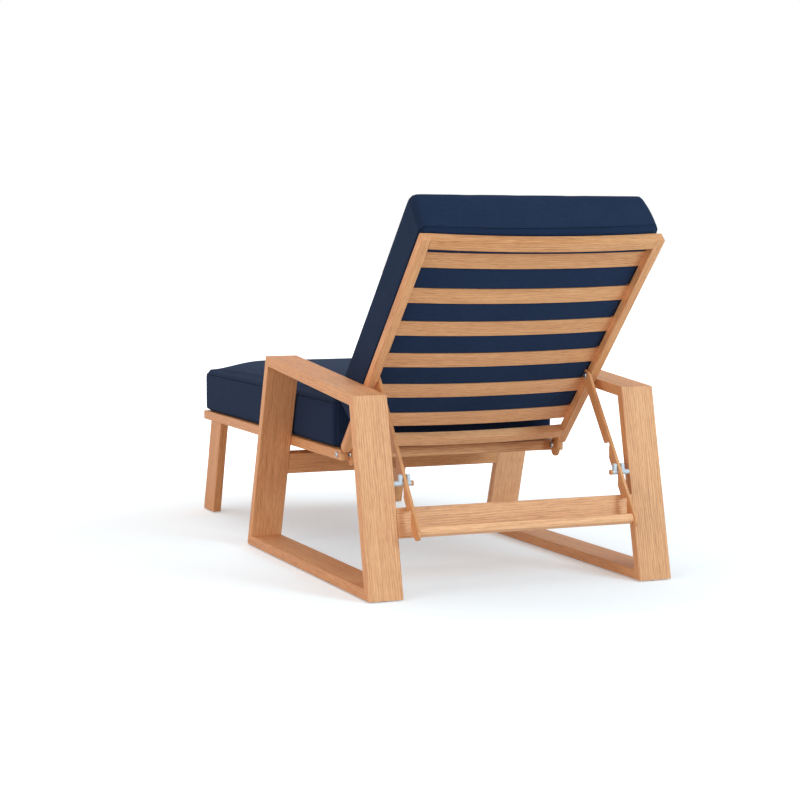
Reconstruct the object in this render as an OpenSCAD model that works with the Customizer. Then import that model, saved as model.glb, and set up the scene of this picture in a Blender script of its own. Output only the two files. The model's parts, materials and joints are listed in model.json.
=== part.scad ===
// Outdoor chaise lounge with closed loop sides and a folding back held up by a notched prop.
// Millimetres. Z is up from the floor, the sitter's feet point to -Y and X is across.
// Angles are in degrees.

/* [Loop sides] */
// Width over both loop sides
overall_w = 800; // [700:5:900]
// Width of the loop boards across the lounge
loop_board_w = 87.5; // [60:0.5:120]
// Thickness of the loop boards
loop_board_t = 25; // [18:0.5:35]
// Length of the loop on the floor
loop_floor_len = 909; // [700:5:1100]
// Height of the loop at its front corner, over the glides
loop_front_h = 525; // [400:5:600]
// Height of the loop at its rear corner, over the glides
loop_rear_h = 468; // [350:5:550]
// How far the front board leans back on its height
loop_front_lean = 169.5; // [0:0.5:250]
// How far the rear board leans forward on its height
loop_rear_lean = 103.5; // [0:0.5:200]
// Level distance of the pegs' middles from the rear boards' rear faces
peg_rear_gap = 7.3; // [6.5:0.1:14]
// Small bevel on the edges of the boards
edge_bevel = 1.5; // [0.5:0.1:3]

/* [Glides] */
// Radius of a glide
glide_r = 9; // [5:0.5:12]
// Height of a glide
glide_h = 3; // [1:0.5:8]
// Distance of a loop's glide from the loop's corner
glide_inset = 20; // [10:1:60]

/* [Seat frame] */
// Y of the foot end of the seat frame
foot_y = -856; // [-1000:5:-700]
// Y of the rear ends of the side rails
rail_rear_y = 341; // [300:1:400]
// Height of the seat frame's top above the floor
seat_top_z = 308; // [250:1:400]
// Height of the seat's rails
seat_rail_h = 26; // [20:0.5:50]
// Thickness of the seat's side rails
seat_rail_t = 22.5; // [16:0.5:35]
// Thickness of the cross rail and the foot rail
cross_rail_t = 24; // [16:0.5:35]
// Y of the cross rail's rear face
cross_rail_y = 328; // [280:1:335]
// Number of slats under the seat cushion
seat_slat_count = 7; // [4:1:7]
// Width of a seat slat
seat_slat_w = 70; // [30:1:90]
// Thickness of a seat slat
seat_slat_t = 10; // [6:0.5:16]
// Depth of the seat slats' tops below the rails' tops
seat_slat_drop = 2; // [0:0.5:8]
// Width of the ledges that carry the seat slats
ledge_w = 16; // [8:0.5:30]
// Height of the ledges
ledge_h = 12; // [8:0.5:14]

/* [Foot legs] */
// Width of a foot leg along the lounge
foot_leg_w = 101; // [50:1:140]
// Thickness of a foot leg
foot_leg_t = 24; // [16:0.5:35]
// Distance of a foot leg's top from the foot end
foot_leg_inset = 75; // [20:1:150]
// How far a foot leg leans to the foot end
foot_leg_lean = 86; // [0:1:150]

/* [Stretchers] */
// Height of the lower edge of the stretcher between the front boards
seat_stretcher_z = 202; // [100:1:240]
// Height of that stretcher
seat_stretcher_h = 56; // [30:1:76]
// Height of the lower edge of the stretcher between the rear boards
rear_stretcher_z = 142.5; // [60:0.5:200]
// Height of the rear stretcher
rear_stretcher_h = 69; // [30:1:100]
// Thickness of both stretchers
stretcher_t = 24; // [16:0.5:25]

/* [Back frame] */
// Angle of the back above level in the photographed notch
back_rest_angle = 46.5; // [30:0.5:60]
// Length of the back's side rails
back_len = 724; // [500:1:900]
// Width over the back frame, less than the loops leave by a running gap on each side
back_side_gap = 1; // [0.5:0.1:3]
// Width of a back side rail
back_rail_w = 22.5; // [16:0.5:35]
// Thickness of the back frame
back_rail_t = 24; // [18:0.5:35]
// Height of the top rail
top_rail_h = 27; // [20:0.5:50]
// Height of the bottom rail
bottom_rail_h = 24; // [20:0.5:50]
// Distance from the top of the back to the bottom rail
bottom_rail_s = 681; // [400:1:700]
// Rearward bow of the top rail
top_rail_bow = 10.5; // [2:0.5:14]
// Rearward bow of the slats and the bottom rail
slat_bow = 9; // [2:0.5:12]
// Height of a back slat
slat_h = 48; // [30:1:60]
// Thickness of a back slat
slat_t = 6; // [5:0.5:12]
// Depth of the slats' rear faces at their ends, in the back frame
slat_recess = 21; // [14:0.5:22]
// Gap between the bottom rail and the lowest slat
slat_bottom_gap = 30; // [10:1:60]
// Gap between the top rail and the highest slat
slat_top_gap = 27.8; // [10:0.2:60]
// Distance from slat to slat, of the second to the fifth
slat_pitch = 109.4; // [80:0.2:115]
// Distance from the lowest slat to the next
slat_low_pitch = 105.5; // [80:0.5:115]
// How far a slat's end laps over the side rail
slat_lap = 11; // [4:0.5:16]
// Radius of the back frame's top corners
back_corner_r = 3; // [2:0.5:16]

/* [Hinge] */
// Y of the hinge pin
hinge_y = 349; // [345:0.5:360]
// Depth of the hinge pin below the seat frame's top
hinge_drop = 10; // [6:0.5:20]
// Distance of the hinge pin in front of the back's rear face
hinge_inset = 1.5; // [0:0.5:10]
// Gap from the hinge pin to the end of the side rails
hinge_end_gap = 13; // [10:0.5:20]
// Thickness of a wooden ear
ear_t = 6; // [5:0.5:16]
// Radius of an ear's lower end
ear_r = 20; // [10:0.5:24]
// Distance of the ear's round centre behind the pin
ear_back = 1; // [0:0.5:12]
// Distance of the ear's round centre below the pin
ear_drop = 9; // [5:0.5:25]
// Radius of the hinge pin
pin_r = 3; // [2:0.1:5]
// Radial running clearance of a pin
pin_clear = 0.05; // [0.02:0.01:0.1]
// Radius of a bolt head
bolt_head_r = 8; // [5:0.1:10]
// Thickness of a bolt head
bolt_head_t = 3.5; // [2:0.1:6]
// Radius of the socket in a bolt head
socket_r = 3; // [2:0.1:4]
// Gap between faces that turn past each other
face_gap = 0.4; // [0.3:0.1:1]
// Thickness of a hinge lug
lug_t = 7; // [3:0.5:10]
// Half height of a hinge lug
lug_r = 9; // [6:0.5:12]
// Width of a lug's foot on the cross rail
lug_foot_w = 16; // [12:1:40]

/* [Prop] */
// Distance of the prop's pivot from the hinge pin along the back
prop_pivot_a = 260.5; // [200:0.5:300]
// Depth of the prop's pivot in front of the back's rear face
prop_pivot_depth = 10; // [6:0.5:14]
// Width of a prop arm
arm_w = 29; // [20:0.5:40]
// Thickness of a prop arm
arm_t = 7.5; // [5:0.5:12]
// Gap between a prop arm and the side rail
arm_gap = 0.5; // [0.3:0.1:2]
// Angle of the prop arms below level
arm_angle = 53.9; // [40:0.1:70]
// Distance from the pivot to the round centre of the arm's lower end
arm_len = 417.5; // [380:0.5:460]
// Distance from the pivot to the first notch
notch_first = 204; // [150:1:240]
// Distance from notch to notch
notch_pitch = 78; // [60:1:100]
// Number of notches
notch_count = 3; // [2:1:3]
// Depth of a notch's centre past the arm's centre line
notch_over = 0.5; // [-4:0.5:3]
// Depth of the prop's pins in the side rails
prop_pin_depth = 14; // [8:0.5:18]
// Gap between a notch and the peg in it
notch_clear = 0.4; // [0.3:0.1:1]
// Depth of the crossbar behind and in front of the arms' centre line together
crossbar_d = 22; // [16:0.5:28]
// Height of the crossbar
crossbar_h = 21; // [16:0.5:28]
// Distance of the crossbar's middle from the round centre of the arms' lower ends
crossbar_back = 6.5; // [0:0.5:40]
// Bevel of the crossbar's edges
crossbar_bevel = 4; // [1:0.5:8]

/* [Pegs] */
// Radius of the wooden dowel
dowel_r = 4.5; // [3:0.1:6]
// Radius of the plastic sleeve
sleeve_r = 6.3; // [5:0.1:9]
// Length of the dowel out of the loop side
dowel_len = 50.5; // [40:0.5:60]
// Length of the wooden button at the dowel's end
button_len = 6; // [3:0.5:10]
// Thickness of a sleeve's upright tab
tab_t = 8; // [5:0.5:10]
// Width of an upright tab
tab_w = 11; // [8:0.5:14]
// Height of a tab's round centre above the dowel's middle
tab_h = 16; // [8:0.5:30]
// Gap between a tab and the prop arm
tab_gap = 2.5; // [1:0.1:6]

/* [Cushions] */
// Thickness of the seat cushion at its seams
seat_cushion_t = 120; // [60:1:150]
// Crown of the seat cushion above its seams
seat_crown = 26; // [5:1:40]
// Y of the seat cushion's rear end
seat_cushion_rear_y = 274; // [200:1:276]
// Gap under the cushions
cushion_gap = 0.3; // [0.3:0.1:2]
// Distance of the cushions' sides from the frame's sides
cushion_side_inset = 3; // [1:0.5:20]
// Thickness of the back cushion at its seams
back_cushion_t = 108; // [60:1:150]
// Crown of the back cushion in front of its seams
back_crown = 20; // [5:1:40]
// How far the back cushion stands above the back frame
back_cushion_over = 22; // [0:1:40]
// Length of the back cushion
back_cushion_len = 687; // [600:1:700]
// Draw-in of the cushions' sides between their corners
cushion_draw = 5; // [0:0.5:12]
// Bulge of the side panels between their seams
cushion_bulge = 2; // [0:0.5:3]
// Width of the crowns' shoulders
crown_shoulder = 150; // [60:1:200]
// Radius of the back cushion's lower front edge
back_cushion_heel_r = 50; // [30:1:60]
// Radius of the cushion corners seen from above
cushion_corner_r = 22; // [10:1:40]
// Radius of the rolled seams
piping_r = 1.5; // [1:0.1:3]

/* [Hidden] */
$fn = 64;

// One overrun for cuts
overrun = 5;
wedge_share = 0.2;
arc_steps = 24;

loop_inner_x = overall_w / 2 - loop_board_w;
seat_half_w = loop_inner_x;
seat_rail_x = seat_half_w - seat_rail_t;
seat_bottom_z = seat_top_z - seat_rail_h;
back_half_w = loop_inner_x - back_side_gap;
back_rail_x = back_half_w - back_rail_w;

// A point of the back, given along and square to it from the hinge pin, in Y and Z
hinge_z = seat_top_z - hinge_drop;
function on_back(a, h) = [
  hinge_y + a * cos(back_rest_angle) - h * sin(back_rest_angle),
  hinge_z + a * sin(back_rest_angle) + h * cos(back_rest_angle)
];
back_top_a = hinge_end_gap + back_len;
back_rear_h = -hinge_inset;
back_front_h = back_rear_h + back_rail_t;
bottom_rail_a = back_top_a - bottom_rail_s;
bottom_rail_low_a = bottom_rail_a - bottom_rail_h;
// The tops of the slats, counted down from the top of the back
lowest_slat_s = bottom_rail_s - slat_bottom_gap - slat_h;
slat_tops_s = [
  top_rail_h + slat_top_gap,
  for (i = [3:-1:0]) lowest_slat_s - slat_low_pitch - i * slat_pitch,
  lowest_slat_s
];

prop_pivot = on_back(prop_pivot_a, back_rear_h + prop_pivot_depth);
arm_x = back_rail_x - arm_gap - arm_t;
// The peg's middle, in Y and Z: it lies in the second notch
peg_at = prop_pivot
  + (notch_first + notch_pitch) * [cos(arm_angle), -sin(arm_angle)]
  + notch_over * [sin(arm_angle), cos(arm_angle)];
// The loop's corners on the floor: the rear board is set by the pegs in it
loop_rear_y = peg_at.x + peg_rear_gap + loop_rear_lean * (peg_at.y - glide_h) / loop_rear_h;
loop_front_y = loop_rear_y - loop_floor_len;

// The loop's outer corners in Y and Z, clockwise from the front foot
loop_outer = [
  [loop_front_y, glide_h],
  [loop_front_y + loop_front_lean, glide_h + loop_front_h],
  [loop_rear_y - loop_rear_lean, glide_h + loop_rear_h],
  [loop_rear_y, glide_h]
];
function direction(p, q) = (q - p) / norm(q - p);
function angle_of(p, q) = atan2(q.y - p.y, q.x - p.x);
function inward(d) = [d.y, -d.x];
// The corner at which the boards' inner faces meet
function inner_corner(p, q, r, t) =
  let(d = direction(p, q), e = direction(q, r))
  q + (inward(d) + inward(e)) * t / (1 + d * e);
loop_inner = [for (i = [0:3])
  inner_corner(loop_outer[(i + 3) % 4], loop_outer[i], loop_outer[(i + 1) % 4], loop_board_t)];

ear_x = back_rail_x - ear_t;
lug_x = ear_x - face_gap - lug_t;

// Laid flat in Y and Z and given a width along X
module side_prism(x0, w) translate([x0, 0, 0]) rotate([90, 0, 90]) linear_extrude(w) children();

// A bevelled bar along +Z, its width along X and its thickness along Y
module bar(w, t, len, bevel) {
  linear_extrude(len)
    polygon([
      [bevel, 0], [w - bevel, 0], [w, bevel], [w, t - bevel],
      [w - bevel, t], [bevel, t], [0, t - bevel], [0, bevel]
    ]);
}

// A bar between two points in Y and Z, its thickness to the right of the way it runs
module bar_between(x0, w, t, p, q, bevel) {
  translate([x0, p.x, p.y])
    rotate([angle_of(p, q) - 90, 0, 0])
    bar(w, t, norm(q - p), bevel);
}

// One board of a loop: a bevelled bar whose ends are mitred in the corners
module loop_board(side, i) {
  j = (i + 1) % 4;
  p = loop_outer[i];
  q = loop_outer[j];
  d = direction(p, q);
  out_p = p + wedge_share * (p - loop_inner[i]);
  out_q = q + wedge_share * (q - loop_inner[j]);
  in_p = loop_inner[i] - wedge_share * (p - loop_inner[i]);
  in_q = loop_inner[j] - wedge_share * (q - loop_inner[j]);
  mirror([side < 0 ? 1 : 0, 0, 0])
    intersection() {
      bar_between(loop_inner_x, loop_board_w, loop_board_t, p - overrun * d, q + overrun * d, edge_bevel);
      side_prism(loop_inner_x - overrun, loop_board_w + 2 * overrun)
        polygon([out_p, out_q, in_q, in_p]);
    }
}

module loop_left_top() color("BurlyWood") loop_board(1, 1);
module loop_left_front() color("Tan") loop_board(1, 0);
module loop_left_rear() color("Tan") loop_board(1, 2);
module loop_left_floor() color("BurlyWood") loop_board(1, 3);
module loop_right_top() color("BurlyWood") loop_board(-1, 1);
module loop_right_front() color("Tan") loop_board(-1, 0);
module loop_right_rear() color("Tan") loop_board(-1, 2);
module loop_right_floor() color("BurlyWood") loop_board(-1, 3);

// Glides under the loops' floor boards and the foot legs
module glide() cylinder(r = glide_r, h = glide_h);
module loop_glides(side) {
  x = side * (loop_inner_x + loop_board_w / 2);
  for (y = [loop_front_y + glide_inset, loop_rear_y - glide_inset])
    translate([x, y, 0]) glide();
}
module glides_left() color("Black") loop_glides(1);
module glides_right() color("Black") loop_glides(-1);
module glides_foot() color("Black")
  for (side = [-1, 1])
    translate([side * (seat_half_w - foot_leg_t / 2), foot_leg_bottom_y + foot_leg_w / 2, 0]) glide();

// The seat frame: side rails with the foot rail and the cross rail between them
module seat_rail(side) {
  mirror([side < 0 ? 1 : 0, 0, 0])
    translate([seat_rail_x, foot_y, seat_top_z])
    rotate([-90, 0, 0])
    bar(seat_rail_t, seat_rail_h, rail_rear_y - foot_y, edge_bevel);
}
module seat_rail_left() color("Peru") seat_rail(1);
module seat_rail_right() color("Peru") seat_rail(-1);
module seat_end_rail(y) {
  translate([-seat_rail_x, y, seat_bottom_z])
    rotate([90, 0, 90])
    bar(cross_rail_t, seat_rail_h, 2 * seat_rail_x, edge_bevel);
}
module seat_foot_rail() color("Tan") seat_end_rail(foot_y);
module seat_cross_rail() color("Tan") seat_end_rail(cross_rail_y - cross_rail_t);

// Ledges inside the side rails carry the flat slats under the cushion
slat_zone_y = foot_y + cross_rail_t;
slat_zone_len = cross_rail_y - cross_rail_t - slat_zone_y;
seat_slat_z = seat_top_z - seat_slat_drop - seat_slat_t;
module seat_ledge(side) {
  mirror([side < 0 ? 1 : 0, 0, 0])
    translate([seat_rail_x - ledge_w, slat_zone_y, seat_slat_z - ledge_h])
    cube([ledge_w, slat_zone_len, ledge_h]);
}
module seat_ledge_left() color("Tan") seat_ledge(1);
module seat_ledge_right() color("Tan") seat_ledge(-1);
seat_slat_step = slat_zone_len / seat_slat_count;
module seat_slat(i) {
  y = slat_zone_y + (i - 0.5) * seat_slat_step - seat_slat_w / 2;
  translate([-seat_rail_x, y, seat_slat_z + seat_slat_t])
    rotate([0, 90, 0])
    bar(seat_slat_t, seat_slat_w, 2 * seat_rail_x, edge_bevel);
}
module seat_slat_1() color("Wheat") seat_slat(1);
module seat_slat_2() color("Wheat") seat_slat(2);
module seat_slat_3() color("Wheat") seat_slat(3);
module seat_slat_4() color("Wheat") seat_slat(4);
module seat_slat_5() color("Wheat") seat_slat(5);
module seat_slat_6() color("Wheat") seat_slat(6);
module seat_slat_7() color("Wheat") seat_slat(7);

// A foot leg: a slanted board under the side rail, cut level at both ends
foot_leg_top_y = foot_y + foot_leg_inset;
foot_leg_bottom_y = foot_leg_top_y - foot_leg_lean;
foot_leg_tilt = atan2(foot_leg_lean, seat_bottom_z - glide_h);
module foot_leg(side) {
  p = [foot_leg_bottom_y, glide_h];
  q = [foot_leg_top_y, seat_bottom_z];
  more = foot_leg_w * sin(foot_leg_tilt) + overrun;
  d = direction(p, q);
  mirror([side < 0 ? 1 : 0, 0, 0])
    intersection() {
      bar_between(
        seat_half_w - foot_leg_t, foot_leg_t, foot_leg_w * cos(foot_leg_tilt),
        p - overrun * d, q + more * d, edge_bevel
      );
      side_prism(seat_half_w - foot_leg_t - overrun, foot_leg_t + 2 * overrun)
        polygon([
          [p.x - foot_leg_w, p.y], [p.x - foot_leg_w, q.y],
          [q.x + 2 * foot_leg_w, q.y], [q.x + 2 * foot_leg_w, p.y]
        ]);
    }
}
module foot_leg_left() color("Peru") foot_leg(1);
module foot_leg_right() color("Peru") foot_leg(-1);

// A bevelled board across the lounge, its rear face on the line that runs up from p to q
function on_edge(p, q, z) = p + (q - p) * (z - p.y) / (q.y - p.y);
module cross_board(half_w, t, p, q, bevel) {
  d = direction(p, q);
  n = inward(d);
  len = norm(q - p);
  side_prism(-half_w, 2 * half_w)
    polygon([
      p + bevel * d, p + (len - bevel) * d, q - bevel * n, q - (t - bevel) * n,
      p + (len - bevel) * d - t * n, p + bevel * d - t * n, p - (t - bevel) * n, p - bevel * n
    ]);
}

// The stretchers between the loop sides lie in the slant of the boards that carry them
module seat_stretcher() color("Tan")
  cross_board(
    loop_inner_x, stretcher_t,
    on_edge(loop_inner[0], loop_inner[1], seat_stretcher_z),
    on_edge(loop_inner[0], loop_inner[1], seat_stretcher_z + seat_stretcher_h),
    edge_bevel
  );
module rear_stretcher() color("Tan")
  cross_board(
    loop_inner_x, stretcher_t,
    on_edge(loop_outer[3], loop_outer[2], rear_stretcher_z),
    on_edge(loop_outer[3], loop_outer[2], rear_stretcher_z + rear_stretcher_h),
    edge_bevel
  );

// A peg out of each rear board: a wooden dowel with a button at its end
module peg(side) {
  mirror([side < 0 ? 1 : 0, 0, 0])
    translate([loop_inner_x - dowel_len, peg_at.x, peg_at.y])
    rotate([0, 90, 0]) {
      cylinder(r = sleeve_r, h = button_len);
      cylinder(r = dowel_r, h = dowel_len);
    }
}
module peg_left() color("Peru") peg(1);
module peg_right() color("Peru") peg(-1);

// The plastic sleeve on the dowel, with two upright tabs that keep the prop arm between them
module tab(x) {
  translate([x, peg_at.x, peg_at.y]) rotate([90, 0, 90]) {
    linear_extrude(tab_t) {
      difference() {
        union() {
          translate([-tab_w / 2, 0]) square([tab_w, tab_h]);
          translate([0, tab_h]) circle(r = tab_w / 2);
        }
        circle(r = sleeve_r - sleeve_wall / 2);
      }
    }
  }
}
sleeve_wall = sleeve_r - dowel_r - pin_clear;
module sleeve(side) {
  inner_x = loop_inner_x - dowel_len + button_len;
  mirror([side < 0 ? 1 : 0, 0, 0])
    difference() {
      union() {
        translate([inner_x, peg_at.x, peg_at.y])
          rotate([0, 90, 0])
          cylinder(r = sleeve_r, h = loop_inner_x - inner_x);
        tab(arm_x - tab_gap - tab_t);
        tab(arm_x + arm_t + tab_gap);
      }
      translate([inner_x - overrun, peg_at.x, peg_at.y])
        rotate([0, 90, 0])
        cylinder(r = dowel_r + pin_clear, h = dowel_len + overrun);
    }
}
module sleeve_left() color("Gainsboro") sleeve(1);
module sleeve_right() color("Gainsboro") sleeve(-1);

// Bolts through the side rails' outer faces into the cross rail
bolt_y = cross_rail_y - cross_rail_t / 2;
bolt_z = seat_top_z - seat_rail_h / 2;
module frame_bolts() color("DimGray")
  for (side = [-1, 1])
    mirror([side < 0 ? 1 : 0, 0, 0])
      translate([seat_half_w, bolt_y, bolt_z])
      rotate([0, 90, 0])
      bolt_head();

// Wooden lugs on the cross rail carry the hinge pins
module hinge_lug(side) {
  mirror([side < 0 ? 1 : 0, 0, 0])
    difference() {
      union() {
        translate([lug_x, cross_rail_y, hinge_z - lug_r])
          cube([lug_t, hinge_y - cross_rail_y, 2 * lug_r]);
        translate([lug_x, hinge_y, hinge_z]) rotate([0, 90, 0]) cylinder(r = lug_r, h = lug_t);
        translate([lug_x + lug_t - lug_foot_w, cross_rail_y, hinge_z - lug_r])
          cube([lug_foot_w, lug_t, 2 * lug_r]);
      }
      translate([lug_x - overrun, hinge_y, hinge_z])
        rotate([0, 90, 0])
        cylinder(r = pin_r + pin_clear, h = lug_t + 2 * overrun);
    }
}
module hinge_lug_left() color("Peru") hinge_lug(1);
module hinge_lug_right() color("Peru") hinge_lug(-1);

// A bolt along X with a domed head at each end, from x0 to x1 between its heads
module socket_bolt(x0, x1) {
  translate([x0, 0, 0]) rotate([0, 90, 0]) cylinder(r = pin_r, h = x1 - x0);
  translate([x1, 0, 0]) rotate([0, 90, 0]) bolt_head();
  translate([x0, 0, 0]) rotate([0, -90, 0]) bolt_head();
}
module bolt_head() {
  difference() {
    union() {
      cylinder(r = bolt_head_r, h = bolt_head_t / 2);
      translate([0, 0, bolt_head_t / 2])
        cylinder(r1 = bolt_head_r, r2 = bolt_head_r - bolt_head_t / 2, h = bolt_head_t / 2);
    }
    translate([0, 0, bolt_head_t / 2])
      linear_extrude(bolt_head_t)
      circle(r = socket_r, $fn = 6);
  }
}
module hinge_bolts() color("DimGray")
  for (side = [-1, 1])
    mirror([side < 0 ? 1 : 0, 0, 0])
      translate([0, hinge_y, hinge_z])
      socket_bolt(lug_x, back_rail_x + face_gap);

// Everything in the back is drawn along the back from the hinge pin, its face towards the sitter
module back_place() translate([0, hinge_y, hinge_z]) rotate([back_rest_angle, 0, 0]) children();

// A board that bows rearward: x is the half width, the ends lie at the height end_h
function bow_at(x, half_w, bow) = bow * (1 - pow(x / half_w, 2));
module bowed_board(half_w, end_h, t, bow, a0, h) {
  xs = [for (i = [0:arc_steps]) half_w * (2 * i / arc_steps - 1)];
  back_place()
    translate([0, a0 + h, 0])
    rotate([90, 0, 0])
    linear_extrude(h)
    polygon(concat(
      [for (x = xs) [x, end_h - bow_at(x, half_w, bow)]],
      [for (i = [arc_steps:-1:0]) [xs[i], end_h + t - bow_at(xs[i], half_w, bow)]]
    ));
}
slat_end_h = back_rear_h + slat_recess;
slat_half_w = back_rail_x + slat_lap;
module back_slat(i) {
  bowed_board(slat_half_w, slat_end_h, slat_t, slat_bow, back_top_a - slat_tops_s[i - 1] - slat_h, slat_h);
}
module back_slat_1() color("BurlyWood") back_slat(1);
module back_slat_2() color("BurlyWood") back_slat(2);
module back_slat_3() color("BurlyWood") back_slat(3);
module back_slat_4() color("BurlyWood") back_slat(4);
module back_slat_5() color("BurlyWood") back_slat(5);
module back_slat_6() color("BurlyWood") back_slat(6);
module back_top_rail() color("Tan")
  bowed_board(back_rail_x, back_rear_h, back_rail_t, top_rail_bow, back_top_a - top_rail_h, top_rail_h);
module back_bottom_rail() color("Tan")
  bowed_board(back_rail_x, back_rear_h, back_rail_t, slat_bow, bottom_rail_low_a, bottom_rail_h);

// A side rail, blunt at its lower end, with housings for the slats and a round top corner
rail_end_share = 0.45;
module back_rail(side) {
  low_a = hinge_end_gap - back_rail_t / 4;
  mirror([side < 0 ? 1 : 0, 0, 0])
    back_place()
    difference() {
      intersection() {
        translate([back_rail_x, 0, back_front_h])
          rotate([-90, 0, 0])
          bar(back_rail_w, back_rail_t, back_top_a, edge_bevel);
        side_prism(back_rail_x - overrun, back_rail_w + 2 * overrun)
          polygon([
            [hinge_end_gap - back_rail_t / 8, back_front_h + overrun],
            [hinge_end_gap - back_rail_t / 8, back_front_h],
            [low_a, back_rear_h + back_rail_t * (1 - rail_end_share)],
            [hinge_end_gap - back_rail_t / 10, back_rear_h],
            [hinge_end_gap - back_rail_t / 10, back_rear_h - overrun],
            [back_top_a + overrun, back_rear_h - overrun],
            [back_top_a + overrun, back_front_h + overrun]
          ]);
      }
      for (s = slat_tops_s)
        translate([back_rail_x - overrun, back_top_a - s - slat_h, slat_end_h - slat_end_rise])
          cube([slat_lap + overrun, slat_h, back_rail_t]);
      translate([back_rail_x - overrun, prop_pivot_a, back_rear_h + prop_pivot_depth])
        rotate([0, 90, 0])
        cylinder(r = pin_r, h = prop_pin_depth + overrun);
      translate([back_half_w - back_corner_r, back_top_a - back_corner_r, back_rear_h - overrun])
        linear_extrude(back_rail_t + 2 * overrun)
        difference() {
          square(back_corner_r + overrun);
          circle(r = back_corner_r);
        }
    }
}
// The slats' rear faces rise by this much over the housings
slat_end_rise = bow_at(back_rail_x, slat_half_w, slat_bow);
module back_rail_left() color("Peru") back_rail(1);
module back_rail_right() color("Peru") back_rail(-1);

// Wooden ears under the bottom rail turn on the hinge pins
ear_arc_rise = 20;
ear_arc_turn = 180 + 2 * ear_arc_rise;
module ear(side) {
  round_at = [hinge_y + ear_back, hinge_z - ear_drop];
  top_front = on_back(bottom_rail_low_a, back_front_h - back_rail_t / 8);
  top_rear = on_back(bottom_rail_low_a, back_rear_h);
  mirror([side < 0 ? 1 : 0, 0, 0])
    difference() {
      side_prism(ear_x, ear_t)
        polygon(concat(
          [[round_at.x - ear_r / 2, top_rear.y], top_front, top_rear, [top_rear.x, top_rear.y - back_rail_t / 8]],
          [for (i = [0:arc_steps])
            let(turned = ear_arc_rise - i * ear_arc_turn / arc_steps)
            round_at + ear_r * [cos(turned), sin(turned)]]
        ));
      translate([ear_x - overrun, hinge_y, hinge_z])
        rotate([0, 90, 0])
        cylinder(r = pin_r + pin_clear, h = ear_t + 2 * overrun);
    }
}
module ear_left() color("Peru") ear(1);
module ear_right() color("Peru") ear(-1);

// The prop: two notched arms and a crossbar, hung on pins in the back's side rails
module prop_place() translate([0, prop_pivot.x, prop_pivot.y]) rotate([-arm_angle, 0, 0]) children();
module prop_arm(side) {
  seat_r = sleeve_r + notch_clear;
  mirror([side < 0 ? 1 : 0, 0, 0])
    prop_place()
    side_prism(arm_x, arm_t)
    difference() {
      union() {
        translate([0, -arm_w / 2]) square([arm_len, arm_w]);
        circle(r = arm_w / 2);
        translate([arm_len, 0]) circle(r = arm_w / 2);
      }
      circle(r = pin_r + pin_clear);
      for (i = [0:notch_count - 1])
        translate([notch_first + i * notch_pitch, notch_over]) {
          circle(r = seat_r);
          polygon([
            [-seat_r, 0], [-seat_r - arm_w / 5, -arm_w / 2 - notch_over],
            [-seat_r - arm_w / 5, -arm_w], [seat_r + arm_w * 3 / 4, -arm_w],
            [seat_r + arm_w * 3 / 4, -arm_w / 2 - notch_over],
            [seat_r + arm_w * 3 / 5, -arm_w * 3 / 8], [seat_r, 0]
          ]);
        }
    }
}
module prop_arm_left() color("Peru") prop_arm(1);
module prop_arm_right() color("Peru") prop_arm(-1);
module prop_crossbar() color("Tan")
  prop_place()
  translate([-arm_x, arm_len - crossbar_back - crossbar_h / 2, -crossbar_d / 2])
  rotate([90, 0, 90])
  bar(crossbar_h, crossbar_d, 2 * arm_x, crossbar_bevel);
module prop_bolts() color("DimGray")
  for (side = [-1, 1])
    mirror([side < 0 ? 1 : 0, 0, 0])
      translate([0, prop_pivot.x, prop_pivot.y]) {
        translate([arm_x - face_gap, 0, 0])
          rotate([0, 90, 0])
          cylinder(r = pin_r, h = back_rail_x + prop_pin_depth - arm_x + face_gap);
        translate([arm_x - face_gap, 0, 0]) rotate([0, -90, 0]) bolt_head();
      }

// A boxed cushion: rings of points from its flat underside up its piped sides and over its crown
corner_steps = 4;
side_steps = 7;
ring_count = 4 * (corner_steps + side_steps);
crown_inset_shares = [0.01, 0.03, 0.055, 0.09, 0.145, 0.23, 0.36, 0.52, 0.75];
function compass(k) = [cos(90 * k), sin(90 * k)];
function corner_centre(k, hx, hy, r) = [
  (k == 0 || k == 3 ? 1 : -1) * (hx - r),
  (k < 2 ? 1 : -1) * (hy - r)
];
// One ring, counted round from +X, with its sides drawn in between the corners
function ring_xy(hx, hy, r, draw) = [
  for (k = [0:3]) each concat(
    [for (j = [0:corner_steps]) corner_centre(k, hx, hy, r) + r * compass(k + j / corner_steps)],
    [for (j = [1:side_steps - 1])
      let(t = j / side_steps)
      (1 - t) * corner_centre(k, hx, hy, r) + t * corner_centre((k + 1) % 4, hx, hy, r)
        + (r - draw * sin(180 * t)) * compass(k + 1)]
  )
];
function shoulder(e) = sin(90 * min(1, max(0, e) / crown_shoulder));
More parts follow.
